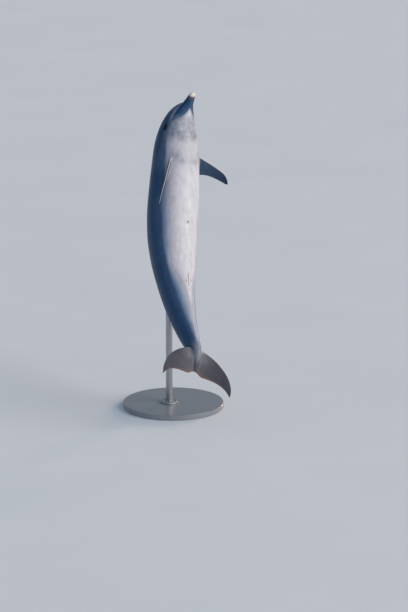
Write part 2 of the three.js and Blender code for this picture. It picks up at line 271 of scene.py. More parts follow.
eye = {
    "row": 22, "station": 345, "turn": 88, "radius": 18, "depth": 12,
    "patch": 22,  # half the skin patch that the lids grow from
    "tilt": 14,  # degrees the front corner drops towards the mouth
    "leastRise": 3,  # keeps the lids off the ball's rim
    # half length and half height of each loop, its lift over the skin or over the ball
    "loops": [
        {"long": 26, "high": 20, "overSkin": 1.2},
        {"long": 20, "high": 14.5, "overBall": 3.4, "clearOfSkin": 0.5},
        {"long": 17, "high": 11, "overBall": 2.4, "clearOfSkin": 0.5},
        {"long": 15.5, "high": 9.2, "overBall": 0.4},
        {"long": 14, "high": 7.5, "overBall": -3},
    ],
}
# The outlines of the fins are (outward, rearward) places from each fin's root.
flipper = {
    "leading": [(-74, -14), (0, 0), (52, 23), (115, 52), (210, 102), (289, 150), (331, 200), (345, 237)],
    "trailing": [
        (-74, 172), (0, 160), (63, 155), (137, 168), (220, 196), (284, 223), (320, 239), (345, 245),
    ],
    "thickness": (0.19, 0.14), "fillet": 0.2, "rootHigh": 1.5, "droop": (0, 1),
    "rows": (31, 37),
    "steps": [0.05, 0.11, 0.19, 0.28, 0.38, 0.48, 0.58, 0.68, 0.78, 0.86, 0.93, 0.975, 1.0],  # root to tip
}
flipperSides = [
    {"station": 581, "turn": 121.5, "column": 14, "side": 1, "lift": -6, "sweep": -1.5, "twist": 13},
    {"station": 587, "turn": 230, "column": 25, "side": -1, "lift": -42.5, "sweep": 34, "twist": 12},
]
dorsalFin = {
    "leading": [(-90, -85), (0, 0), (55, 60), (102, 118), (143, 188), (168, 250), (178, 300)],
    "trailing": [(-90, 365), (0, 352), (42, 314), (88, 292), (130, 288), (160, 297), (178, 309)],
    "thickness": (0.13, 0.12), "fillet": 0.3, "rootHigh": 1.7, "droop": (0, 1),
    "rows": (45, 53), "from": 1055, "to": 1407, "lean": 10,
    "steps": [0.06, 0.13, 0.22, 0.33, 0.45, 0.57, 0.69, 0.8, 0.9, 0.96, 1.0],
}
fluke = {
    "leading": [
        (0, -240), (50, -212), (105, -191), (170, -152), (232, -92), (281, -25), (309, 45), (321, 105),
        (319, 160),
    ],
    "trailing": [
        (0, -2), (14, 20), (45, 32), (90, 38), (145, 43), (205, 61), (256, 92), (292, 130), (313, 166),
    ],
    "thickness": (0.16, 0.12), "fillet": 0.25, "rootHigh": 2.0,
    "droop": (75, 1.8),  # how far the tips hang, and how late the blade bends
    "rows": (72, 80), "station": 2475,
    "steps": [0.05, 0.11, 0.19, 0.28, 0.38, 0.48, 0.58, 0.68, 0.78, 0.86, 0.93, 0.975, 1.0],
}
# what all the fins share
blade = {
    "leastHalf": 1.5, "leastShare": 0.2,  # the least half thickness, in mm and as a share of the chord
    "edgeShare": 0.06,  # how near the edges the outermost rows of a fin stand
    "deepest": 0.6, "halvings": 14,  # the search for the place where a blade leaves the body
    "ahead": 12, "behind": 10,  # how far the root's two ends are drawn out along the body
    "rootSpan": 0.3, "endFlare": 7,  # the share of the span that swells to the root, and its ends' flare
}


def splinePoint(points, t):
    # a curve through the points, by its share from the first to the last
    last = len(points) - 1
    place = last * t
    i = min(int(place), last - 1)
    t = place - i
    before, start, end, after = (Vector(points[max(0, min(k, last))]) for k in range(i - 1, i + 3))
    leave, arrive = (end - before) / 2, (after - start) / 2
    cubic = 2 * start - 2 * end + leave + arrive
    quadratic = 3 * end - 3 * start - 2 * leave - arrive
    return cubic * t ** 3 + quadratic * t ** 2 + leave * t + start


def streamline(share):
    # half the thickness along the chord of a streamlined section, as a share of its greatest
    curved = 2.969 * math.sqrt(share) - 1.26 * share
    return curved - 3.516 * share ** 2 + 2.843 * share ** 3 - 1.015 * share ** 4


def finDirections(station, side, lift=0.0, sweep=0.0, twist=0.0):
    head, left, up = spineDirections(station)
    level = turned(left * side, up, lift)
    outward = turned(level, -head, sweep)
    rearward = turned(-head, -level, sweep)
    rearward.rotate(Matrix.Rotation(math.radians(side * twist), 3, outward))
    return outward, rearward, outward.cross(rearward) * side


def bladePoint(fin, seat, along, share, height, swell=1.0):
    # height is 1 on the back's face of the blade, -1 on the belly's and 0 halfway
    root, outward, rearward, normal = seat
    front, rear = splinePoint(fin["leading"], along), splinePoint(fin["trailing"], along)
    chord = (rear - front).length
    thick = chord * (fin["thickness"][0] * (1 - along) + fin["thickness"][1] * along) * swell
    least = min(blade["leastHalf"], chord * blade["leastShare"])
    half = 0 if share in (0, 1) else max(thick / 2 * streamline(share), least)
    place = front.lerp(rear, share)
    hang, lateness = fin["droop"]
    drop = hang * max(place.x / fin["leading"][-1][0], 0) ** lateness
    return root + outward * place.x + rearward * place.y + normal * (height * half - drop)


class SkinCage:
    # the coarse skin, a tube of rings that the fins and lids are drawn out of before it is smoothed
    def __init__(self):
        self.bm = bmesh.new()
        layers = self.bm.verts.layers
        self.goal = layers.float_vector.new("goal")
        self.spot = layers.int.new("spot")
        names = ("along", "around", "fin", "chord", "span", "flipper", "fluke", "lid")
        self.marks = {name: layers.float.new(name) for name in names}
        count = skin["columns"]
        self.stations = [[station] * count for station in skin["rows"]]
        self.turns = [[column * 360 / count for column in range(count)] for _ in skin["rows"]]
        self.proud = [[0.0] * count for _ in skin["rows"]]

    def setVert(self, vert, point, station, turn, **marks):
        vert[self.goal] = point
        vert.co = point
        vert[self.marks["along"]] = station * mm
        vert[self.marks["around"]] = 180 - abs((turn + 180) % 360 - 180)
        for name, value in marks.items():
            vert[self.marks[name]] = value

    def spread(self, firstRow, column, wanted):
        # moves a patch, three columns wide, to where it is wanted, and its neighbours with it
        count, last, reach = skin["columns"], len(wanted) - 1, skin["spreadAlong"]
        moves = []
        for r, row in enumerate(wanted, firstRow):
            here = []
            for j, (station, turn) in enumerate(row):
                c = (column + j - 1) % count
                here.append((station - self.stations[r][c], (turn - self.turns[r][c] + 180) % 360 - 180))
            moves.append(here)
        for i in range(1 - reach, last + reach):
            r = firstRow + i
            if not 0 <= r < len(self.stations):
                continue
            alongFade = 1 - max(-i, i - last, 0) / reach
            move = moves[max(0, min(i, last))]
            for k in range(-skin["spreadAcross"], skin["spreadAcross"] + 1):
                j = 0 if k < 0 else 2 if k > 0 else 1
                acrossFade = 1 - max(abs(k) - 1, 0) / skin["spreadAcross"]
                c = (column + k) % count
                self.stations[r][c] += move[j][0] * alongFade * acrossFade
                self.turns[r][c] += move[j][1] * alongFade * acrossFade

    def raiseRings(self):
        bm, count = self.bm, skin["columns"]
        self.grid = extrudeRings(bm, len(skin["rows"]), count)
        for r, ring in enumerate(self.grid):
            for c, vert in enumerate(ring):
                station, turn = self.stations[r][c], self.turns[r][c]
                self.setVert(vert, bodyPoint(station, turn, self.proud[r][c]), station, turn)
        for row, sign in ((0, 1), (-1, -1)):
            ring = self.grid[row]
            made = bmesh.ops.extrude_edge_only(bm, edges=loopOf(bm, ring))["geom"]
            inner = [part for part in made if isinstance(part, bmesh.types.BMVert)]
            centre = sum((vert[self.goal] for vert in ring), Vector()) / count
            ahead = spineDirections(skin["rows"][row])[0] * sign * skin["noseCap"]
            for vert in inner:
                vert[self.goal] = centre.lerp(Vector(vert[self.goal]), skin["capRing"]) + ahead
                vert.co = vert[self.goal]
            rim = [edge for edge in bm.edges if edge.verts[0] in inner and edge.verts[1] in inner]
            bmesh.ops.edgeloop_fill(bm, edges=rim)

    def patch(self, firstRow, lastRow, column):
        # the faces of a patch three columns wide, whose points are numbered row by row
        rows = range(firstRow, lastRow + 1)
        verts = [self.grid[r][(column + j) % skin["columns"]] for r in rows for j in (-1, 0, 1)]
        for i, vert in enumerate(verts):
            vert[self.spot] = i
        chosen = set(verts)
        return [face for face in self.bm.faces if all(vert in chosen for vert in face.verts)]

    def grow(self, faces, placers):
        # draws a patch out once for each placer, which puts its points in place
        for place in placers:
            grown = bmesh.ops.extrude_face_region(self.bm, geom=faces)["geom"]
            bmesh.ops.delete(self.bm, geom=faces, context="FACES")
            faces = [part for part in grown if isinstance(part, bmesh.types.BMFace)]
            for part in grown:
                if isinstance(part, bmesh.types.BMVert):
                    place(part, part[self.spot])

    def fit(self):
        # moves each cage point by what the smooth surface (its Catmull-Clark limit) misses its goal by
        for _ in range(skin["fitting"]):
            moved = []
            for vert in self.bm.verts:
                count = len(vert.link_edges)
                rim = sum((edge.other_vert(vert).co for edge in vert.link_edges), Vector())
                faces = sum((face.calc_center_median() for face in vert.link_faces), Vector())
                smooth = (vert.co * (count * count - count) + rim * 2 + faces * 4) / (count * (count + 5))
                moved.append(vert.co + Vector(vert[self.goal]) - smooth)
            for vert, place in zip(self.bm.verts, moved):
                vert.co = place


def gapeTurn(station):
    # the turn, on the left side, at which the mouth line lies
    rise = smoothThrough(mouth["line"])(station) - middle(station)
    cosine = math.copysign((abs(rise) / crown(station, rise)) ** (square(station) / 2), rise)
    return math.degrees(math.acos(max(-1, min(1, cosine))))


def setMouth(cage):
    rows = range(mouth["firstRow"], mouth["lastRow"] + 1)
    for side, column in flanks:
        wanted = []
        for r in rows:
            station = skin["rows"][r]
            line = gapeTurn(station) if side > 0 else 360 - gapeTurn(station)
            lip = min(mouth["lipTurn"], math.degrees(mouth["lip"] / breadth(station)))
            wanted.append([(station, turn) for turn in (line - lip, line, line + lip)])
        cage.spread(mouth["firstRow"], column, wanted)
        for r in rows:
            corner = (mouth["lastRow"] - r) / mouth["cornerRows"]
            fade = min(1, corner, mouth["tipShare"] + r / mouth["tipRows"])
            for beside, rise in ((-1, mouth["lipCrest"]), (0, -mouth["depth"]), (1, mouth["lipCrest"])):
                cage.proud[r][column + beside] = rise * fade


def setEyePatch(cage):
    size = eye["patch"]
    step = math.degrees(size / breadth(eye["station"]))
    for side, column in flanks:
        centre = eye["turn"] if side > 0 else 360 - eye["turn"]
        wanted = [[(eye["station"] + i * size, centre + j * step) for j in (-1, 0, 1)] for i in (-1, 0, 1)]
        cage.spread(eye["row"] - 1, column, wanted)


def eyeDirections(side):
    # where the eye lies on the skin, then outward, along its length and across it
    at, head, _, up = spineFrame(eye["station"])
    centre = bodyPoint(eye["station"], eye["turn"] if side > 0 else 360 - eye["turn"])
    outward = (centre - at).normalized()
    forward = (head - outward * head.dot(outward)).normalized()
    lower = outward.cross(forward)
    if lower.dot(up) > 0:
        lower = -lower
    return centre, outward, turned(forward, lower, eye["tilt"]), turned(lower, -forward, eye["tilt"])


def growLids(cage):
    for side, column in flanks:
        centre, outward, longWay, highWay = eyeDirections(side)
        patch = cage.patch(eye["row"] - 1, eye["row"] + 1, column)

        def placer(loop):
            def place(vert, spot):
                i, j = spot // 3 - 1, (spot % 3 - 1) * side
                if i == 0 and j == 0:
                    x = y = 0.0
                else:
                    angle = math.atan2(j, -i)
                    x, y = loop["long"] * math.cos(angle), loop["high"] * math.sin(angle)
                flat = centre + longWay * x + highWay * y
                station, under = bodyPlace(flat, eye["station"])
                onSkin = bodyPoint(station, under)
                if "overSkin" in loop:
                    point = onSkin + outward * loop["overSkin"]
                else:
                    squared = (eye["radius"] + loop["overBall"]) ** 2 - x * x - y * y
                    rise = math.sqrt(max(squared, eye["leastRise"] ** 2)) - eye["depth"]
                    if "clearOfSkin" in loop:
                        rise = max(rise, (onSkin - flat).dot(outward) + loop["clearOfSkin"])
                    point = flat + outward * rise
                cage.setVert(vert, point, station, under, lid=1.0)

            return place

        cage.grow(patch, [placer(loop) for loop in eye["loops"]])


def finSettings():
    # each fin with its column, its seat (root, outward, rearward and normal) and its marks
    sets = []
    for one in flipperSides:
        directions = finDirections(one["station"], one["side"], one["lift"], one["sweep"], one["twist"])
        root = bodyPoint(one["station"], one["turn"])
        sets.append((flipper, one["column"], (root, *directions), {"flipper": 1.0}))
    front = bodyPoint(dorsalFin["from"], 0)
    rearward = (bodyPoint(dorsalFin["to"], 0) - front).normalized()
    outward = finDirections((dorsalFin["from"] + dorsalFin["to"]) / 2, 1, 90 - dorsalFin["lean"])[0]
    outward = (outward - rearward * outward.dot(rearward)).normalized()
    sets.append((dorsalFin, 0, (front, outward, rearward, outward.cross(rearward)), {}))
    notch = spineFrame(body["length"])[0]
    for side, column in flanks:
        sets.append((fluke, column, (notch, *finDirections(fluke["station"], side)), {"fluke": 1.0}))
    return sets


def finShares(count):
    # places along the chord, closer together at its ends
    edge = blade["edgeShare"]
    return [(1 - math.cos(math.pi * (edge + (1 - 2 * edge) * i / count))) / 2 for i in range(count + 1)]


def rootEnd(i, count):
    # 0 at a root's front row, 1 at its rear row and None between them
    return 0 if i == 0 else 1 if i == count else None


def crossing(fin, seat, share, station):
    # how far along its outline the blade comes out of the body
    inside, outside = 0.0, blade["deepest"]
    for _ in range(blade["halvings"]):
        halfway = (inside + outside) / 2
        if bodyLevel(bladePoint(fin, seat, halfway, share, 0), station) < 1:
            inside = halfway
        else:
            outside = halfway
    return outside


def facing(fin, column, seat):
    # -1 where a higher column lies on the blade's back face, and 1 where it lies on its belly face
    station = skin["rows"][fin["rows"][0]]
    step = 360 / skin["columns"]
    across = bodyPoint(station, (column + 1) * step) - bodyPoint(station, (column - 1) * step)
    return -1 if across.dot(seat[3]) > 0 else 1


def setFinRoot(cage, fin, column, seat):
    first, last = fin["rows"]
    sign = facing(fin, column, seat)
    wanted = []
    for i, own in enumerate(finShares(last - first)):
        end = rootEnd(i, last - first)
        near = skin["rows"][first + i]
        row = []
        for j in (-1, 0, 1):
            share = own if j or end is None else end
            emerging = crossing(fin, seat, share, near)
            point = bladePoint(fin, seat, emerging, share, -sign * j, fin["rootHigh"])
            if end is not None:
                point += seat[2] * (blade["behind"] if end else -blade["ahead"])
            row.append(bodyPlace(point, near))
        wanted.append(row)
    cage.spread(first, column, wanted)


def growFin(cage, fin, column, seat, marks):
    first, last = fin["rows"]
    shares = finShares(last - first)
    sign = facing(fin, column, seat)
    patch = cage.patch(first, last, column)
    turn = column * 360 / skin["columns"]
    # where the blade leaves the body at each row's own share of the chord and at the chord's two ends
    emerging = []
    for own, near in zip(shares, skin["rows"][first:]):
        emerging.append([crossing(fin, seat, share, near) for share in (own, 0, 1)])

    def placer(span):
        nearRoot = max(0.0, 1 - span / blade["rootSpan"]) ** 2

        def place(vert, spot):
            i, j = spot // 3, spot % 3 - 1
            end = rootEnd(i, last - first)
            share, start = (shares[i], emerging[i][0]) if j or end is None else (end, emerging[i][1 + end])
            along = start + (1 - start) * span
            point = bladePoint(fin, seat, along, share, -sign * j, 1 + fin["fillet"] * nearRoot)
            if end is not None:
                point += seat[2] * (blade["endFlare"] * nearRoot * (1 if end else -1))
            station = skin["rows"][first + i]
            cage.setVert(vert, point, station, turn, fin=1.0, chord=share, span=span, **marks)

        return place

    cage.grow(patch, [placer(span) for span in fin["steps"]])


def makeSkinCage():
    cage = SkinCage()
    fins = finSettings()
    setMouth(cage)
    setEyePatch(cage)
    for fin, column, seat, _ in fins:
        setFinRoot(cage, fin, column, seat)
    cage.raiseRings()
    growLids(cage)
    for fin, column, seat, marks in fins:
        growFin(cage, fin, column, seat, marks)
    bmesh.ops.recalc_face_normals(cage.bm, faces=cage.bm.faces)
    cage.fit()
    return cage


def smoothSkin(cage):
    bm = cage.bm
    bm.verts.layers.float_vector.remove(cage.goal)
    bm.verts.layers.int.remove(bm.verts.layers.int["spot"])
    made = objectFrom(bm, "skin")
    subdivision = made.modifiers.new("subdivision", "SUBSURF")
    subdivision.levels = subdivision.render_levels = skin["levels"]
    dense = bpy.data.meshes.new_from_object(made.evaluated_get(bpy.context.evaluated_depsgraph_get()))
    made.modifiers.clear()
    made.data = dense
    return made


cage = makeSkinCage()
print("skin cage:", len(cage.bm.verts), "points")
dolphin = smoothSkin(cage)
print("smooth skin:", len(dolphin.data.vertices), "points")


details = {
    # between beak and melon
    "crease": {"station": 113, "width": 9, "depth": 3.5, "from": 98, "fade": 14},
    "blowhole": {
        "station": 372, "turns": [0], "width": 36, "arch": 12, "groove": 3.2, "depth": 4.5,
        "lips": [(-9, 6.5, 2.2), (8, 6, 1.1)],  # each lip's distance from the opening, width and height
        "ends": 1.25, "reach": 40, "refine": 42, "cuts": 2,
    },
    "navel": {
        "station": 1175, "turns": [180], "long": 15, "wide": 8, "depth": 4, "rim": 1.2,
        "refine": 45, "cuts": 2,
    },
    "slit": {
        "station": 1692, "turns": [180], "long": 64, "wide": 3.0, "depth": 4.2, "rim": 1.5,
        "refine": 80, "cuts": 2,
    },
    "vent": {
        "station": 1788, "turns": [180], "long": 8, "wide": 5, "depth": 4, "rim": 1.2,
        "refine": 30, "cuts": 2,
    },
    "mammary": {
        "station": 1702, "turns": [170.5, 189.5], "long": 20, "wide": 2.8, "depth": 2.8, "rim": 0.9,
    },
    "throatFold": {
        "stations": (352, 392, 436), "slant": 0.35, "width": 9, "depth": 0.9, "until": 62, "fade": 15,
    },
}
# how every slit ends, and where its rim lies as a share of its width and length
slitForm = {"reach": 60, "ends": 0.7, "rimOut": 2.4, "rimWide": 1.3, "rimEnds": 1.15, "rimLong": 1.2}


def refineAround(bm, centre, radius, cuts):
    for _ in range(cuts):
        edges = [edge for edge in bm.edges if all((vert.co - centre).length < radius for vert in edge.verts)]
        bmesh.ops.subdivide_edges(bm, edges=edges, cuts=1, use_grid_fill=True)


def refineSkin(thing):
    bm = bmesh.new()
    bm.from_mesh(thing.data)
    for name in ("blowhole", "navel", "slit", "vent"):
        part = details[name]
        refineAround(bm, bodyPoint(part["station"], part["turns"][0]), part["refine"], part["cuts"])
    bm.to_mesh(thing.data)
    bm.free()


def readField(mesh, name):
    values = np.zeros(len(mesh.vertices), np.float32)
    mesh.attributes[name].data.foreach_get("value", values)
    return values.astype(float)


def writeField(mesh, name, values):
    made = mesh.attributes.get(name) or mesh.attributes.new(name, "FLOAT", "POINT")
    made.data.foreach_set("value", np.ascontiguousarray(values, np.float32))


def readVectors(mesh, name):
    # the places ("co") or the normals ("normal") of all points
    values = np.zeros(len(mesh.vertices) * 3, np.float32)
    mesh.vertices.foreach_get(name, values)
    return values.reshape(-1, 3).astype(float)


def setPoints(mesh, points):
    mesh.vertices.foreach_set("co", points.astype(np.float32).ravel())
    mesh.update()


def curveOver(pairs, values):
    # a smooth curve read for a whole array
    low, high = pairs[0][0], pairs[-1][0]
    steps = np.linspace(low, high, 400)
    curve = smoothThrough(pairs)
    return np.interp(values, steps, [curve(step) for step in steps])


def hump(values, centre, width):
    # 1 at the centre, falling softly to 0 on both sides
    return np.exp(-((values - centre) / width) ** 2)


def localPlace(points, station, turn):
    # how far each point lies tailward, across and above a spot of the skin
    at, head = spineFrame(station)[:2]
    centre = bodyPoint(station, turn)
    outward = (centre - at).normalized()
    tailward = (-head + outward * head.dot(outward)).normalized()
    across = outward.cross(tailward)
    away = points - np.array(centre)
    return away @ np.array(tailward), away @ np.array(across), away @ np.array(outward)


def slitDepth(points, turn, part):
    # how far the skin is lifted or sunk by a slit, and where its groove is
    along, across, above = localPlace(points, part["station"], turn)
    long, wide = part["long"], part["wide"]
    near = np.abs(above) < slitForm["reach"]
    groove = hump(across, 0, wide) * np.clip(1 - (along / long) ** 2, 0, 1) ** slitForm["ends"] * near
    rim = hump(np.abs(across), slitForm["rimOut"] * wide, slitForm["rimWide"] * wide)
    rim *= np.clip(slitForm["rimEnds"] - (along / (slitForm["rimLong"] * long)) ** 2, 0, 1) * near
    return rim * part["rim"] - groove * part["depth"], groove


def blowholeDepth(points, hole):
    tailward, sideways, above = localPlace(points, hole["station"], hole["turns"][0])
    share = sideways / (hole["width"] / 2)
    fromArch = tailward + (share ** 2 - 0.5) * hole["arch"]
    ends = np.clip(hole["ends"] - share ** 2, 0, 1) * (np.abs(above) < hole["reach"])
    opening = hump(fromArch, 0, hole["groove"]) * ends
    lips = sum(height * hump(fromArch, place, width) for place, width, height in hole["lips"])
    return lips * ends - hole["depth"] * opening, opening


def shapeDetails(thing):
    mesh = thing.data
    points, normals = readVectors(mesh, "co"), readVectors(mesh, "normal")
    station, around, fin = readField(mesh, "along") / mm, readField(mesh, "around"), readField(mesh, "fin")

    crease = details["crease"]
    upper = softStep(crease["from"] - crease["fade"], crease["from"] + crease["fade"], around)
    lift = -crease["depth"] * upper * hump(station, crease["station"], crease["width"])
    change, opening = blowholeDepth(points, details["blowhole"])
    lift += change
    # the opening is also the mask of painted shade that darkens the blowhole's groove
    marks = {"blowhole": opening}
    for name in ("navel", "slit", "vent", "mammary"):
        marks[name] = np.zeros(len(points))
        for turn in details[name]["turns"]:
            change, groove = slitDepth(points, turn, details[name])
            lift += change
            marks[name] = np.maximum(marks[name], groove)
    fold = details["throatFold"]
    under = 1 - softStep(fold["until"] - fold["fade"], fold["until"] + fold["fade"], around)
    for place in fold["stations"]:
        lift -= fold["depth"] * under * hump(station - fold["slant"] * around, place, fold["width"])

    lift *= 1 - np.clip(fin, 0, 1)
    setPoints(mesh, points + normals * lift[:, None])
    for name, values in marks.items():
        writeField(mesh, name, values)


# how the hollows at the fin roots and round the lids are eased
easing = {
    "strength": 0.6,
    "flukeRounds": 160, "flukeFrom": (2290, 2390), "flukeSpan": (0.05, 0.26),
    "notchFrom": (2440, 2495), "notchHeld": 0.3,  # the stock's end is held back a little
    "bare": 0.02,  # the most of a fin that a point of the stock's own skin has
    "otherRounds": 12, "otherSpan": (0.05, 0.16), "finFrom": (0.0, 0.4),
}


def easeRoots(thing):
    # averages each chosen point with its neighbours, again and again
    mesh = thing.data
    points = readVectors(mesh, "co")
    pairs = np.zeros(len(mesh.edges) * 2, np.int32)
    mesh.edges.foreach_get("vertices", pairs)
    starts, finishes = pairs[0::2], pairs[1::2]
    ends, others = np.concatenate([starts, finishes]), np.concatenate([finishes, starts])
    count = np.bincount(ends, minlength=len(points))
    station = readField(mesh, "along") / mm
    fin, span, lid = (readField(mesh, name) for name in ("fin", "span", "lid"))
    nearFluke = softStep(*easing["flukeFrom"], station)
    held = easing["notchHeld"] * softStep(*easing["notchFrom"], station) * (fin < easing["bare"])
    fluke = nearFluke * (1 - held) * (1 - softStep(*easing["flukeSpan"], span))
    roots = softStep(*easing["finFrom"], fin) * (1 - softStep(*easing["otherSpan"], span)) * (1 - nearFluke)
    rims = np.clip(4 * lid * (1 - lid), 0, 1)
    for weight, rounds in ((fluke, easing["flukeRounds"]), (np.maximum(roots, rims), easing["otherRounds"])):
        for _ in range(rounds):
            for axis in range(3):
                mean = np.bincount(ends, weights=points[others, axis], minlength=len(points)) / count
                points[:, axis] += easing["strength"] * weight * (mean - points[:, axis])
    setPoints(mesh, points)


easeRoots(dolphin)
refineSkin(dolphin)
shapeDetails(dolphin)
print("skin with its small forms:", len(dolphin.data.vertices), "points")

# Degrees round the body from the middle of the belly (0) to the middle of the back (180).
markings = {
    "whiteEdge": [
        (0, -20), (120, -20), (145, -7), (170, 5), (200, 16), (230, 27), (255, 42), (290, 62), (400, 66),
        (560, 56), (900, 48), (1170, 41), (1370, 41), (1540, 43), (1620, 34), (1690, 21), (1880, 5),
        (2020, -4), (2200, -8), (2500, -8),
    ],
    "lightEdge": [
        (0, -15), (120, -15), (145, -1), (170, 12), (200, 24), (230, 37), (255, 52), (290, 72), (400, 71),
        (560, 62), (900, 55), (1170, 48), (1370, 49), (1540, 51), (1620, 46), (1670, 39), (1830, 27),
        (2000, 20), (2150, 12), (2500, 4),
    ],
    "darkEdge": [
        (0, -9), (120, -9), (145, 6), (170, 19), (200, 31), (230, 46), (255, 62), (290, 80), (400, 77),
        (560, 68), (760, 64), (1000, 66), (1160, 63), (1360, 61), (1530, 58), (1660, 55), (1810, 50),
        (1980, 45), (2140, 35), (2500, 20),
    ],
    # soft patches: station, degrees, reach along in mm, reach round in degrees
    "patches": {
        "cheek": [(262, 52, 26, 13), (292, 36, 22, 11), (250, 28, 26, 9)],
        "blotch": [
            (372, 76, 40, 10), (400, 68, 30, 9), (372, 36, 34, 14), (412, 24, 30, 13), (575, 40, 44, 13),
            (618, 22, 30, 14),
        ],
    },
    # painted highlights: thin pale lines where light catches the lip and the brow, and a warm painted rim
    # light along the crown: the middle of each, its half width in degrees and where it fades in and out
    "paintedHighlights": {
        "lipStreak": {
            "line": [(115, 106), (160, 99), (210, 94), (270, 90)],
            "wide": 6.5, "from": (98, 138), "until": (240, 300),
        },
        "browStreak": {
            "line": [(130, 121), (190, 117), (250, 112)],
            "wide": 6, "from": (110, 150), "until": (205, 265),
        },
        "crownStreak": {
            "line": [(110, 142), (180, 138), (300, 132)],
            "wide": 8, "from": (98, 138), "until": (265, 325),
        },
    },
    "leastStep": 0.5,
    # painted shade along the mouth's groove
    "mouth": {"wide": 3.2, "from": (-4, 10), "until": (262, 300)},
    # the mottled grey of the throat, strong under the head and weaker down the chest
    "throat": {
        "from": (190, 250), "chest": (380, 470), "until": (560, 760), "chestShare": 0.4,
        "midline": 0.68, "sides": (18, 62), "edge": (84, 96),
    },
    # dark skin round the eye, with painted shade under the lids
    "socket": {"long": 29, "high": 22, "near": 60},
    "beakTip": (20, 40), "beakRing": {"station": 42, "wide": 12, "edge": (-4, 12)},
    "ridge": {"from": (2200, 2300), "until": (2360, 2460), "sides": (25, 85), "span": (0.02, 0.25)},
    # the dark of the fins spreads from their roots, and from the stock to the flukes
    "finFrom": (0.25, 1.0), "stockFrom": (2230, 2340), "flukeFrom": (2230, 2300),
    "turnOver": (-0.25, 0.25),  # how far the skin is turned up where a fin's belly colour ends
    "flipperTip": (0.05, 0.95),
    "flukeTop": {"span": (0.04, 0.36), "chord": (0.2, 0.6)},
    # a painted highlight along the fins' lit leading edges, at a share of its strength on the flukes
    "bladeEdgeHighlight": (0.012, 0.05), "flukeEdgeHighlight": 0.2,
    "rearEdge": {"chord": (0.86, 0.985), "span": (0.86, 1.0), "tipChord": (0.3, 0.7)},
}


def stretch(part, station):
    # 1 between the stations where a marking fades in and where it fades out
    return softStep(*part["from"], station) * (1 - softStep(*part["until"], station))


def streak(part, station, around):
    return hump(around, curveOver(part["line"], station), part["wide"]) * stretch(part, station)


def patches(spots, station, around):
    total = np.zeros(len(station))
    for place, degrees, along, across in spots:
        total = np.maximum(total, hump(station, place, along) * hump(around, degrees, across))
    return total


def shadeField(station, around):
    # from the belly's white (0) to the middle of the back (1), with equal steps between the edges
    edges = [curveOver(markings[name], station) for name in ("whiteEdge", "lightEdge", "darkEdge")]
    edges = [np.minimum(0, edges[0]) - 1, *edges, np.full(len(station), 180.0)]
    shade = np.zeros(len(station))
    for low, high in zip(edges, edges[1:]):
        shade += np.clip((around - low) / np.maximum(high - low, markings["leastStep"]), 0, 1)
    return shade / (len(edges) - 1)


# a soft dark patch round each eye: dark skin and painted shade of the lids
def eyeSkinAndShadeField(points, part):
    total = np.zeros(len(points))
    for side in (1, -1):
        centre, outward, longWay, highWay = eyeDirections(side)
        away = points - np.array(centre)
        long, high = away @ np.array(longWay) / part["long"], away @ np.array(highWay) / part["high"]
        near = np.abs(away @ np.array(outward)) < part["near"]
        total = np.maximum(total, np.exp(-(long ** 2 + high ** 2) ** 2) * near)
    return total


def upsideOf(mesh, station):
    # 1 where the skin looks to the animal's back, 0 where it looks to its belly
    stations = np.arange(0, body["length"] + 1, 20)
    ups = np.array([spineDirections(place)[2] for place in stations])
    up = np.stack([np.interp(station, stations, ups[:, i]) for i in range(3)], axis=1)
    return softStep(*markings["turnOver"], (readVectors(mesh, "normal") * up).sum(axis=1))


def paintBody(mesh, station, around, fin, span):
    onBody = 1 - fin
    writeField(mesh, "shade", shadeField(station, around))
    # painted shade in the mouth's groove, a dark line along the gape
    part = markings["mouth"]
    line = np.interp(station, *zip(*[(row, 180 - gapeTurn(row)) for row in range(0, part["until"][1], 10)]))
    apart = (around - line) * np.radians(1) * curveOver([row[:2] for row in body["sections"]], station)
    writeField(mesh, "mouthGrooveShade", hump(apart, 0, part["wide"]) * stretch(part, station) * onBody)
    # the painted highlights along the lip and the brow, and the painted rim light along the crown
    for name, part in markings["paintedHighlights"].items():
        writeField(mesh, name, streak(part, station, around) * onBody)
    for name, spots in markings["patches"].items():
        writeField(mesh, name, patches(spots, station, around) * onBody)
    part = markings["throat"]
    chest = softStep(*part["chest"], station)
    throat = softStep(*part["from"], station) * (1 - chest)
    throat += part["chestShare"] * chest * (1 - softStep(*part["until"], station))
    throat *= part["midline"] + (1 - part["midline"]) * softStep(*part["sides"], around)
    writeField(mesh, "throat", throat * (1 - softStep(*part["edge"], around)) * onBody)
    socket = eyeSkinAndShadeField(readVectors(mesh, "co"), markings["socket"])
    writeField(mesh, "socket", socket)
    writeField(mesh, "recess", np.maximum(socket, readField(mesh, "blowhole")))
    writeField(mesh, "beakTip", 1 - softStep(*markings["beakTip"], station))
    part = markings["beakRing"]
    lowerJaw = 1 - softStep(*part["edge"], around - line)
    writeField(mesh, "beakRing", hump(station, part["station"], part["wide"]) * lowerJaw)
    part = markings["ridge"]
    offFlukes = 1 - softStep(*part["span"], span * fin)
    writeField(mesh, "ridge", stretch(part, station) * (1 - softStep(*part["sides"], around)) * offFlukes)


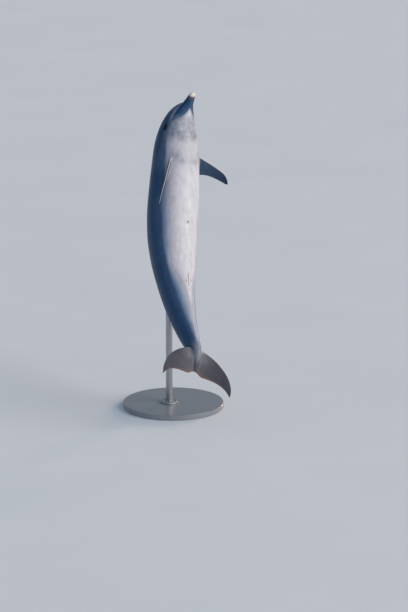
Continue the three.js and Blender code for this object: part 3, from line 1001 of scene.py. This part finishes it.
def paintFins(mesh, station, fin, chord, span):
    flipperSkin, flukeSkin = readField(mesh, "flipper"), readField(mesh, "fluke")
    finSkin = np.maximum(softStep(*markings["finFrom"], fin), softStep(*markings["stockFrom"], station))
    writeField(mesh, "finSkin", finSkin)
    belly = 1 - upsideOf(mesh, station)
    writeField(mesh, "flipperBelly", finSkin * flipperSkin * belly)
    writeField(mesh, "flipperTip", flipperSkin * softStep(*markings["flipperTip"], span))
    nearFluke = np.maximum(flukeSkin, softStep(*markings["flukeFrom"], station))
    writeField(mesh, "flukeBelly", finSkin * nearFluke * belly)
    part = markings["flukeTop"]
    front = (1 - softStep(*part["span"], span)) * (1 - softStep(*part["chord"], chord))
    writeField(mesh, "flukeTop", flukeSkin * belly * front)
    # painted highlight along the leading edges of the flippers, fainter on the flukes
    edge = fin * (1 - softStep(*markings["bladeEdgeHighlight"], chord))
    writeField(mesh, "bladeEdgeHighlight", edge * (flipperSkin + markings["flukeEdgeHighlight"] * flukeSkin))
    part = markings["rearEdge"]
    tip = softStep(*part["span"], span) * softStep(*part["tipChord"], chord)
    writeField(mesh, "rearEdge", fin * (softStep(*part["chord"], chord) + tip) * flukeSkin)


def paintFields(thing):
    # the fields that the skin's material mixes its colours by
    mesh = thing.data
    station, around = readField(mesh, "along") / mm, readField(mesh, "around")
    fin, chord, span = (np.clip(readField(mesh, name), 0, 1) for name in ("fin", "chord", "span"))
    paintBody(mesh, station, around, fin, span)
    paintFins(mesh, station, fin, chord, span)


paintFields(dolphin)
dolphin.data.transform(Matrix.Scale(mm, 4))
dolphin.data.update()

# shares of the map: the body's width, then the fins' strips beside it
unwrap = {
    "bodyWide": 0.56, "margin": 0.006,
    "finColumn": 0.58, "faceStep": 0.21, "faceWide": 0.19, "finStep": 0.19, "finHigh": 0.17,
    "isFin": 0.55,  # a face with more than this share of fin is laid with the fins
}


def unwrapSkin(thing):
    # the body as a tube slit along the back, and each fin's two faces laid beside it
    bm = bmesh.new()
    bm.from_mesh(thing.data)
    uv = bm.loops.layers.uv.new("OFBake")
    names = ("along", "around", "fin", "chord", "span", "flipper", "fluke")
    along, around, fin, chord, span, flipperMark, flukeMark = (bm.verts.layers.float[name] for name in names)
    margin = unwrap["margin"]
    for face in bm.faces:
        count = len(face.verts)
        at, _, left, up = spineFrame(sum(vert[along] for vert in face.verts) / count / mm)
        onLeft = (face.calc_center_median() / mm - at).dot(left) > 0
        if sum(vert[fin] for vert in face.verts) / count > unwrap["isFin"]:
            first = face.verts[0]
            kind = 0 if first[flipperMark] > 0.5 else 1 if first[flukeMark] > 0.5 else 2
            faceUp = face.normal.dot(left if kind == 2 else up) > 0
            slot = kind * 2 + (1 if onLeft and kind < 2 else 0)
            uStart = unwrap["finColumn"] + (unwrap["faceStep"] if faceUp else 0)
            vStart = margin + slot * unwrap["finStep"]
            for loop in face.loops:
                u, v = unwrap["faceWide"] * loop.vert[span], unwrap["finHigh"] * loop.vert[chord]
                loop[uv].uv = (uStart + u, vStart + v)
        else:
            for loop in face.loops:
                share = loop.vert[around] / 360
                u = 0.5 - share if onLeft else 0.5 + share
                v = loop.vert[along] / (mm * body["length"])
                loop[uv].uv = (margin + unwrap["bodyWide"] * u, margin + (1 - 2 * margin) * v)
    bm.to_mesh(thing.data)
    bm.free()


unwrapSkin(dolphin)
shadeSmooth(dolphin)
print("skin painted and unwrapped")


def linear(hexColor):
    channels = [int(hexColor[i:i + 2], 16) / 255 for i in (1, 3, 5)]
    return (*[c / 12.92 if c <= 0.04045 else ((c + 0.055) / 1.055) ** 2.4 for c in channels], 1)


def addNode(tree, kind, inputs=None, **settings):
    # adds a node; an input is a value or another node's output
    node = tree.nodes.new("ShaderNode" + kind)
    for name, value in settings.items():
        setattr(node, name, value)
    for name, value in (inputs or {}).items():
        if isinstance(value, bpy.types.NodeSocket):
            tree.links.new(value, node.inputs[name])
        else:
            node.inputs[name].default_value = value
    return node


def newMaterial(name, **inputs):
    made = bpy.data.materials.new(name)
    made.use_nodes = True
    shader = made.node_tree.nodes["Principled BSDF"]
    for socket, value in inputs.items():
        shader.inputs[socket.replace("_", " ")].default_value = value
    return made, made.node_tree, shader


# Wet dolphin skin: smooth as a peeled egg, with a film of water, so its gloss is even; its colour runs from
# slate on the back, greying down the flank to a pinkish white belly, with painted light laid into it.
skinLook = {
    # the mauve near 0.225 to 0.28 is the flank's pigment with painted shade at the belly's edge, and the deep
    # blue from 0.8 to 0.93 is slate pigment with a painted blue reflection of water
    "bands": [
        (0.0, "#dddbdb"), (0.15, "#d6d3d6"), (0.225, "#c9c4cb"), (0.28, "#bab5be"), (0.4, "#b2b4bc"),
        (0.5, "#a6adb8"), (0.56, "#8c9bb1"), (0.68, "#667d9a"), (0.745, "#415b7b"), (0.80, "#1f4468"),
        (0.93, "#153d63"), (1.0, "#1d3a57"),
    ],
    "edgeDrift": 0.07,  # how far the bands wander
    # even noises: how many clouds to the metre, detail, roughness
    "clouds": {"drift": (7.0, 3.0, 0.55), "mottle": (26.0, 4.0, 0.6), "ripple": (26.0, 6.0, 0.6)},
    # noises drawn out along the body: clouds to the metre each way, turn, detail, roughness
    "lines": {
        "streak": ((26.0, 26.0, 3.5), (0.0, 0.0, 0.0), 3.0, 0.6),
        "rake": ((80.0, 80.0, 1.7), (0.12, 0.2, 0.0), 1.0, 0.5),
    },
    # from the first laid to the last: field, colour, strength, how much the mottling breaks it
    "layers": [
        ("finSkin", "#16395c", 1, 0), ("flipperBelly", "#34495f", 1, 0), ("flipperTip", "#031c40", 0.95, 0),
        ("flukeBelly", "#494851", 1, 0), ("flukeTop", "#83838b", 0.75, 0.3), ("ridge", "#8f98a4", 0.8, 0),
        # the lip, brow and crown lines are painted highlights, the crown's a warm painted rim light
        ("throat", "#626e84", 0.9, 0.45), ("cheek", "#a3a7b4", 0.5, 0.5), ("lipStreak", "#a09db0", 0.9, 0.3),
        ("browStreak", "#71809a", 0.8, 0.4), ("crownStreak", "#7c6268", 0.5, 0.3),
        # the mouth's line is painted shade in its groove
        ("blotch", "#646c80", 0.5, 0.45), ("mouthGrooveShade", "#111b29", 0.9, 0),
        ("beakRing", "#9a6138", 0.5, 0.6), ("beakTip", "#efe6d3", 0.95, 0.15),
        # the socket's near black is dark skin with painted shade of the lids
        ("socket", "#03060d", 0.97, 0), ("navel", "#5f5b66", 0.85, 0), ("slit", "#96606a", 0.9, 0),
        # the blowhole's dark is painted shade in its opening
        ("mammary", "#a2727a", 0.9, 0), ("vent", "#75565f", 0.7, 0), ("blowhole", "#0c1420", 0.9, 0),
        # the blade edges' pale is a painted highlight
        ("rearEdge", "#86583c", 0.6, 0.2), ("bladeEdgeHighlight", "#d8cfc0", 0.9, 0),
    ],
    "broken": {"From Min": 0.38, "From Max": 0.62},  # the part of the mottling that breaks a layer
    "rake": "#8d9aab",  # faint pale lines that other dolphins' teeth have left
    # what each noise or field becomes: its name, the part of it that counts, the values at both ends
    "ranges": {
        "rakeLine": ("rake", (0.71, 0.77), (0.0, 0.16)),
        "streakTone": ("streak", (0.3, 0.7), (0.9, 1.1)),
        "mottleTone": ("mottle", (0.3, 0.7), (0.95, 1.05)),
        "Roughness": ("drift", (0.3, 0.7), (0.38, 0.5)),
        "Specular IOR Level": ("recess", (0.0, 1.0), (0.36, 0.06)),
        "Coat Weight": ("recess", (0.0, 1.0), (0.1, 0.0)),
    },
    "ripple": {"Strength": 0.6, "Distance": 0.0006},
    "gloss": {"IOR": 1.4, "Coat_Roughness": 0.2, "Coat_IOR": 1.33},  # a film of water over the skin
}


def makeSkinMaterial(look):
    made, tree, shader = newMaterial("wet dolphin skin", **look["gloss"])
    place = addNode(tree, "TexCoord").outputs["Object"]
    found = {"recess": addNode(tree, "Attribute", attribute_name="recess").outputs["Fac"]}
    for name, (size, detail, roughness) in look["clouds"].items():
        inputs = {"Vector": place, "Scale": size, "Detail": detail, "Roughness": roughness}
        found[name] = addNode(tree, "TexNoise", inputs).outputs["Fac"]
    for name, (size, turn, detail, roughness) in look["lines"].items():
        at = addNode(tree, "Mapping", {"Vector": place, "Scale": size, "Rotation": turn}).outputs["Vector"]
        inputs = {"Vector": at, "Scale": 1.0, "Detail": detail, "Roughness": roughness}
        found[name] = addNode(tree, "TexNoise", inputs).outputs["Fac"]
    ranged = {}
    for name, (source, (low, high), (start, end)) in look["ranges"].items():
        inputs = {"Value": found[source], "From Min": low, "From Max": high, "To Min": start, "To Max": end}
        ranged[name] = addNode(tree, "MapRange", inputs).outputs["Result"]

    shade = addNode(tree, "Attribute", attribute_name="shade").outputs["Fac"]
    drifting = {0: found["drift"], 1: look["edgeDrift"], 2: -0.5 * look["edgeDrift"]}
    wander = addNode(tree, "Math", drifting, operation="MULTIPLY_ADD").outputs["Value"]
    wandered = addNode(tree, "Math", {0: shade, 1: wander}, operation="ADD").outputs["Value"]
    bands = addNode(tree, "ValToRGB", {"Fac": wandered})
    for i, (spot, tint) in enumerate(look["bands"]):
        element = bands.color_ramp.elements[i] if i < 2 else bands.color_ramp.elements.new(spot)
        element.position, element.color = spot, linear(tint)
    color = bands.outputs["Color"]
    for name, tint, strength, broken in look["layers"]:
        field = addNode(tree, "Attribute", attribute_name=name).outputs["Fac"]
        full = strength
        if broken:
            inputs = {"Value": found["mottle"], "To Min": strength * (1 - broken), "To Max": strength}
            full = addNode(tree, "MapRange", inputs | look["broken"]).outputs["Result"]
        amount = addNode(tree, "Math", {0: field, 1: full}, operation="MULTIPLY", use_clamp=True)
        mixed = {0: amount.outputs["Value"], 6: color, 7: linear(tint)}
        color = addNode(tree, "Mix", mixed, data_type="RGBA").outputs[2]
    mixed = {0: ranged["rakeLine"], 6: color, 7: linear(look["rake"])}
    color = addNode(tree, "Mix", mixed, data_type="RGBA").outputs[2]
    tones = {0: ranged["streakTone"], 1: ranged["mottleTone"]}
    tone = addNode(tree, "Math", tones, operation="MULTIPLY").outputs["Value"]
    toned = addNode(tree, "VectorMath", {0: color, "Scale": tone}, operation="SCALE")
    tree.links.new(toned.outputs["Vector"], shader.inputs["Base Color"])

    for name in ("Roughness", "Specular IOR Level", "Coat Weight"):
        tree.links.new(ranged[name], shader.inputs[name])
    bump = addNode(tree, "Bump", {"Height": found["ripple"], **look["ripple"]})
    tree.links.new(bump.outputs["Normal"], shader.inputs["Normal"])
    return made


dolphin.data.materials.append(makeSkinMaterial(skinLook))
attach(dolphin, "root")
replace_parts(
    dolphin, "head", "lower_jaw", "trunk", "tail_stock", "flipper_left", "flipper_right", "dorsal_fin",
    "fluke_left", "fluke_right",
)
print("skin material made")


eyeball = {
    "segments": 48, "rings": 40,
    "cornea": 34,  # degrees from the pupil to the cornea's rim
    "widen": 1.3,  # the cornea is longer than high
    "bulge": 1.6, "bulgePower": 1.5,
    # from the pupil outward, at shares of the cornea's radius
    "shades": [
        (0.0, "#020203"), (0.3, "#030304"), (0.4, "#0d0705"), (0.75, "#160c07"), (0.95, "#080505"),
        (1.15, "#0f0b0a"), (1.8, "#2a2220"),
    ],
    "lastShade": 2.0,  # where the shades end
    "fibreSize": (14.0, 1.2, 1.0), "fibreReach": 0.24,  # the iris's fibres ruffle its edges
    "gloss": {"Roughness": 0.1, "Specular_IOR_Level": 0.12, "Coat_Weight": 0.12, "Coat_Roughness": 0.03},
}


def makeEyeball(side, name):
    centre, outward, longWay, highWay = eyeDirections(side)
    bm = bmesh.new()
    fromPupil = bm.verts.layers.float.new("fromPupil")
    aroundPupil = bm.verts.layers.float.new("aroundPupil")
    bmesh.ops.create_uvsphere(bm, u_segments=eyeball["segments"], v_segments=eyeball["rings"], radius=1)
    facingOut = Matrix((longWay, highWay, outward)).transposed()
    for vert in bm.verts:
        flat = Vector((vert.co.x / eyeball["widen"], vert.co.y)).length
        share = math.degrees(math.atan2(flat, vert.co.z)) / eyeball["cornea"]
        dome = eyeball["bulge"] * max(0.0, 1 - share ** 2) ** eyeball["bulgePower"]
        vert[fromPupil] = share
        vert[aroundPupil] = math.atan2(vert.co.y, vert.co.x)
        away = facingOut @ (vert.co.normalized() * (eye["radius"] + dome))
        vert.co = (centre - outward * eye["depth"] + away) * mm
    bmesh.ops.recalc_face_normals(bm, faces=bm.faces)  # the right eye's directions are mirrored
    made = objectFrom(bm, name)
    shadeSmooth(made)
    return made


# Polished glass, as in a made model: almost black, with a dark brown iris that shows close to.
def makeEyeMaterial(look):
    made, tree, shader = newMaterial("polished glass eye", **look["gloss"])
    away = addNode(tree, "Attribute", attribute_name="fromPupil").outputs["Fac"]
    around = addNode(tree, "Attribute", attribute_name="aroundPupil").outputs["Fac"]
    place = addNode(tree, "CombineXYZ", {"X": around, "Y": away}).outputs["Vector"]
    fibreAt = addNode(tree, "Mapping", {"Vector": place, "Scale": look["fibreSize"]}).outputs["Vector"]
    fibres = addNode(tree, "TexNoise", {"Vector": fibreAt, "Scale": 1.0, "Detail": 3.0}).outputs["Fac"]
    ruffle = {0: fibres, 1: look["fibreReach"], 2: -0.5 * look["fibreReach"]}
    uneven = addNode(tree, "Math", ruffle, operation="MULTIPLY_ADD").outputs["Value"]
    edge = addNode(tree, "Math", {0: away, 1: uneven}, operation="ADD").outputs["Value"]
    share = addNode(tree, "Math", {0: edge, 1: look["lastShade"]}, operation="DIVIDE").outputs["Value"]
    ramp = addNode(tree, "ValToRGB", {"Fac": share})
    for i, (spot, color) in enumerate(look["shades"]):
        spot /= look["lastShade"]
        element = ramp.color_ramp.elements[i] if i < 2 else ramp.color_ramp.elements.new(spot)
        element.position, element.color = spot, linear(color)
    tree.links.new(ramp.outputs["Color"], shader.inputs["Base Color"])
    return made


eyeMaterial = makeEyeMaterial(eyeball)
for side, name in ((1, "left"), (-1, "right")):
    ball = makeEyeball(side, name + "_eye")
    ball.data.materials.append(eyeMaterial)
    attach(ball, "root")
    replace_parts(ball, "eye_" + name)
print("eyes made")


def turnedPart(bm, place, profile, segments):
    # a lathe-turned form with flat ends, from (radius, height) pairs; a height may be a rule of x and y
    rings = extrudeRings(bm, len(profile), segments)
    for ring, (radius, height) in zip(rings, profile):
        for i, vert in enumerate(ring):
            angle = 2 * math.pi * i / segments
            x, y = place[0] + radius * math.cos(angle), place[1] + radius * math.sin(angle)
            vert.co = (x, y, height(x, y) if callable(height) else height)
    for ring in (rings[0], rings[-1]):
        bmesh.ops.edgeloop_fill(bm, edges=loopOf(bm, ring))


sharpFrom = 38  # degrees between faces at which a turned part's edge stays sharp


def finishPart(bm, name, material):
    bmesh.ops.recalc_face_normals(bm, faces=bm.faces)
    bmesh.ops.scale(bm, vec=(mm, mm, mm), verts=bm.verts)
    made = objectFrom(bm, name)
    shadeSmooth(made)
    made.data.set_sharp_from_angle(angle=math.radians(sharpFrom))
    made.data.materials.append(material)
    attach(made, "root")
    return made


# The plain finishes: two close shades, the roughness between them, and noises given as how many
# clouds there are to the metre each way and their detail.
# Sprayed lacquer: an even satin grey with a faint orange-peel surface.
lacquer = {
    "name": "satin grey lacquered steel", "gloss": {"IOR": 1.45, "Coat_Weight": 0.3, "Coat_Roughness": 0.18},
    "shades": ("#84878c", "#8c8f94"), "rough": (0.29, 0.41),
    "noises": {"cloud": ((9.0, 9.0, 9.0), 4.0), "relief": ((420.0, 420.0, 420.0), 1.0)},
    "relief": {"Strength": 0.5, "Distance": 0.00012},
}
# Brushed stainless steel: fine upright scratches, drawn coarser than the real ones so that they show.
steel = {
    "name": "brushed stainless steel", "gloss": {"Metallic": 1.0},
    "shades": ("#94979b", "#b9bbbe"), "rough": (0.4, 0.24),
    "noises": {"cloud": ((240.0, 240.0, 9.0), 3.0), "relief": ((240.0, 240.0, 9.0), 3.0)},
    "relief": {"Strength": 0.4, "Distance": 0.00006},
}
# Matt floor paint: flat and pale, with the faintest clouding.
floorPaint = {
    "name": "matt painted studio floor", "gloss": {},
    "shades": ("#f1f3f5", "#e9eef2"), "rough": (0.8, 0.8),
    "noises": {"cloud": ((0.8, 0.8, 0.8), 3.0)},
}


def makeFinish(look):
    made, tree, shader = newMaterial(look["name"], **look["gloss"])
    place = addNode(tree, "TexCoord").outputs["Object"]
    found = {}
    for name, (size, detail) in look["noises"].items():
        at = addNode(tree, "Mapping", {"Vector": place, "Scale": size}).outputs["Vector"]
        inputs = {"Vector": at, "Scale": 1.0, "Detail": detail}
        found[name] = addNode(tree, "TexNoise", inputs).outputs["Fac"]
    mixed = {0: found["cloud"], 6: linear(look["shades"][0]), 7: linear(look["shades"][1])}
    color = addNode(tree, "Mix", mixed, data_type="RGBA").outputs[2]
    tree.links.new(color, shader.inputs["Base Color"])
    ranges = {"Value": found["cloud"], "To Min": look["rough"][0], "To Max": look["rough"][1]}
    tree.links.new(addNode(tree, "MapRange", ranges).outputs["Result"], shader.inputs["Roughness"])
    if "relief" in look:
        bump = addNode(tree, "Bump", {"Height": found["relief"], **look["relief"]})
        tree.links.new(bump.outputs["Normal"], shader.inputs["Normal"])
    return made


lacquerMaterial, steelMaterial = makeFinish(lacquer), makeFinish(steel)

plinth = {
    "place": (10, 240), "radius": 430, "height": 45, "segments": 160,
    "rim": 7, "rimStep": 15,  # the rounding of its top edge, in mm, and degrees to each step
    "foot": 3, "footIn": 6, "footEdge": 1,  # a recess that lifts it off the floor to the eye
}


def makePlinth():
    bm = bmesh.new()
    radius, height, rim, foot = (plinth[name] for name in ("radius", "height", "rim", "foot"))
    inner, edge = radius - plinth["footIn"], plinth["footEdge"]
    profile = [(inner, 0), (inner, foot), (radius - edge, foot), (radius, foot + edge)]
    for degrees in range(0, 91, plinth["rimStep"]):
        angle = math.radians(degrees)
        profile.append((radius - rim + rim * math.cos(angle), height - rim + rim * math.sin(angle)))
    profile.append((radius - 2 * rim, height))
    turnedPart(bm, plinth["place"], profile, plinth["segments"])
    made = finishPart(bm, "plinth", lacquerMaterial)
    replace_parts(made, "stand_base")


rod = {
    "place": (-35, 240), "radius": 28, "segments": 64, "foot": 46,
    "joint": 560, "gap": 0.3, "chamfer": 1.2,  # where its two lengths screw together
    "intoCup": 12,
}
flange = {
    "radius": 75, "high": 14, "edge": 1, "rim": [(0, 2.5), (0.8, 0.8), (2.5, 0)],  # in and down from its top
    "collar": 36, "collarHigh": 9, "collarEdge": 1.5, "bore": 0.4,
    "fillet": [(3, 0), (0.8, 0.9), (0, 3)],  # out from the collar and up from the plate
    "bolts": 6, "boltsOut": 56,
}
bolt = {"radius": 7.5, "high": 6, "sunk": 1, "edge": 0.8, "socket": 0.5, "socketDeep": 3.5, "segments": 24}
cup = {
    "radius": 52, "high": 90, "wall": 5, "lip": 2, "lipIn": 1.5,
    "neck": [(0.5, 0), (7, 0), (9, 2), (9, 10), (11, 16), (17, 25)],  # out from the rod and up
    "shoulder": [(-3, 36), (0, 44)],  # out from the cup's radius and up
    "seat": (0.75, 0.5, 0.25, 0.05),  # rings of its hollow top, as shares of the radius
    "clear": 0.6,  # between the cup and the skin
    "searchFrom": 100,
}


def makeCupTop():
    # a rule for how high the cup reaches at x and y, just under the skin
    tree = BVHTree.FromObject(dolphin, bpy.context.evaluated_depsgraph_get())

    def cupTop(x, y):
        hit = tree.ray_cast(Vector((x, y, cup["searchFrom"])) * mm, Vector((0, 0, 1)))[0]
        return hit.z / mm - cup["clear"]

    return cupTop


def makeRod(top):
    bm = bmesh.new()
    names = ("radius", "foot", "joint", "gap", "chamfer")
    radius, foot, joint, gap, chamfer = (rod[name] for name in names)
    thin = radius - chamfer
    profile = [(thin, foot), (radius, foot + chamfer), (radius, joint - chamfer), (thin, joint - gap)]
    profile += [(thin, joint + gap), (radius, joint + chamfer), (radius, top - chamfer), (thin, top)]
    turnedPart(bm, rod["place"], profile, rod["segments"])
    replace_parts(finishPart(bm, "rod", steelMaterial), "stand_rod")


def makeFlange(foot):
    bm = bmesh.new()
    wide, collar, edge = flange["radius"], flange["collar"], flange["edge"]
    plate = foot + flange["high"]
    top = plate + flange["collarHigh"]
    profile = [(wide - edge, foot), (wide, foot + edge)]
    profile += [(wide - inward, plate - down) for inward, down in flange["rim"]]
    profile += [(collar + out, plate + up) for out, up in flange["fillet"]]
    profile += [(collar, top - flange["collarEdge"]), (collar - flange["collarEdge"], top)]
    turnedPart(bm, rod["place"], profile + [(rod["radius"] + flange["bore"], top)], rod["segments"])
    size, edge, top = bolt["radius"], bolt["edge"], plate + bolt["high"]
    profile = [(size, plate - bolt["sunk"]), (size, top - edge), (size - edge, top)]
    profile += [(size * bolt["socket"], top), (size * bolt["socket"], top - bolt["socketDeep"])]
    for i in range(flange["bolts"]):
        angle = 2 * math.pi * (i + 0.5) / flange["bolts"]
        x, y = rod["place"]
        at = (x + flange["boltsOut"] * math.cos(angle), y + flange["boltsOut"] * math.sin(angle))
        turnedPart(bm, at, profile, bolt["segments"])
    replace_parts(finishPart(bm, "flange", steelMaterial), "stand_flange")


def makeCup(foot, cupTop):
    def lip(x, y):
        return cupTop(x, y) - cup["lip"]

    bm = bmesh.new()
    wide = cup["radius"]
    profile = [(rod["radius"] + out, foot + up) for out, up in cup["neck"]]
    profile += [(wide + out, foot + up) for out, up in cup["shoulder"]]
    profile += [(wide, lip), (wide - cup["lipIn"], cupTop), (wide - cup["wall"], cupTop)]
    profile += [(wide * share, cupTop) for share in cup["seat"]]
    turnedPart(bm, rod["place"], profile, rod["segments"])
    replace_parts(finishPart(bm, "cup", steelMaterial), "stand_cup")


makePlinth()
cupTop = makeCupTop()
cupFoot = cupTop(*rod["place"]) - cup["high"]
makeRod(cupFoot + rod["intoCup"])
makeFlange(rod["foot"])
makeCup(cupFoot, cupTop)
print("stand made")

studio = {
    "floorRadius": 150, "floorSides": 96,
    "world": "#c4dcf4", "worldStrength": 0.4,
    # broad far lamps, so that the floor is evenly lit: where each stands, how soft it is in degrees
    "lights": [
        {"name": "key", "spread": 45, "strength": 1.75, "place": (4.0, -6.6, 5.4), "color": "#fff6ee"},
        {"name": "front fill", "spread": 60, "strength": 0.5, "place": (-2.5, -8.0, 2.5), "color": "#f0f0ff"},
        {"name": "rim", "spread": 12, "strength": 1.3, "place": (7.0, 2.2, 3.0), "color": "#ffcfa6"},
    ],
    "aim": (0.05, 0.1, 1.5),
}


def makeFloor(settings):
    bm = bmesh.new()
    size = {"segments": settings["floorSides"], "radius": settings["floorRadius"]}
    bmesh.ops.create_circle(bm, cap_ends=True, **size)
    floor = objectFrom(bm, "floor")
    floor.data.materials.append(makeFinish(floorPaint))


def makeLight(light, aim):
    data = bpy.data.lights.new(light["name"], "SUN")
    data.angle = math.radians(light["spread"])
    data.energy = light["strength"]
    data.color = linear(light["color"])[:3]
    lamp = bpy.data.objects.new(light["name"], data)
    lamp.location = light["place"]
    lamp.rotation_euler = (Vector(aim) - lamp.location).to_track_quat("-Z", "Y").to_euler()
    bpy.context.scene.collection.objects.link(lamp)


def makeStudio(settings):
    makeFloor(settings)
    world = bpy.data.worlds.new("studio")
    world.use_nodes = True
    sky = world.node_tree.nodes["Background"]
    sky.inputs["Color"].default_value = linear(settings["world"])
    sky.inputs["Strength"].default_value = settings["worldStrength"]
    bpy.context.scene.world = world
    bpy.context.scene.view_settings.view_transform = "Standard"  # keeps the dark skin dark
    for light in settings["lights"]:
        makeLight(light, settings["aim"])


makeStudio(studio)
print("studio set")
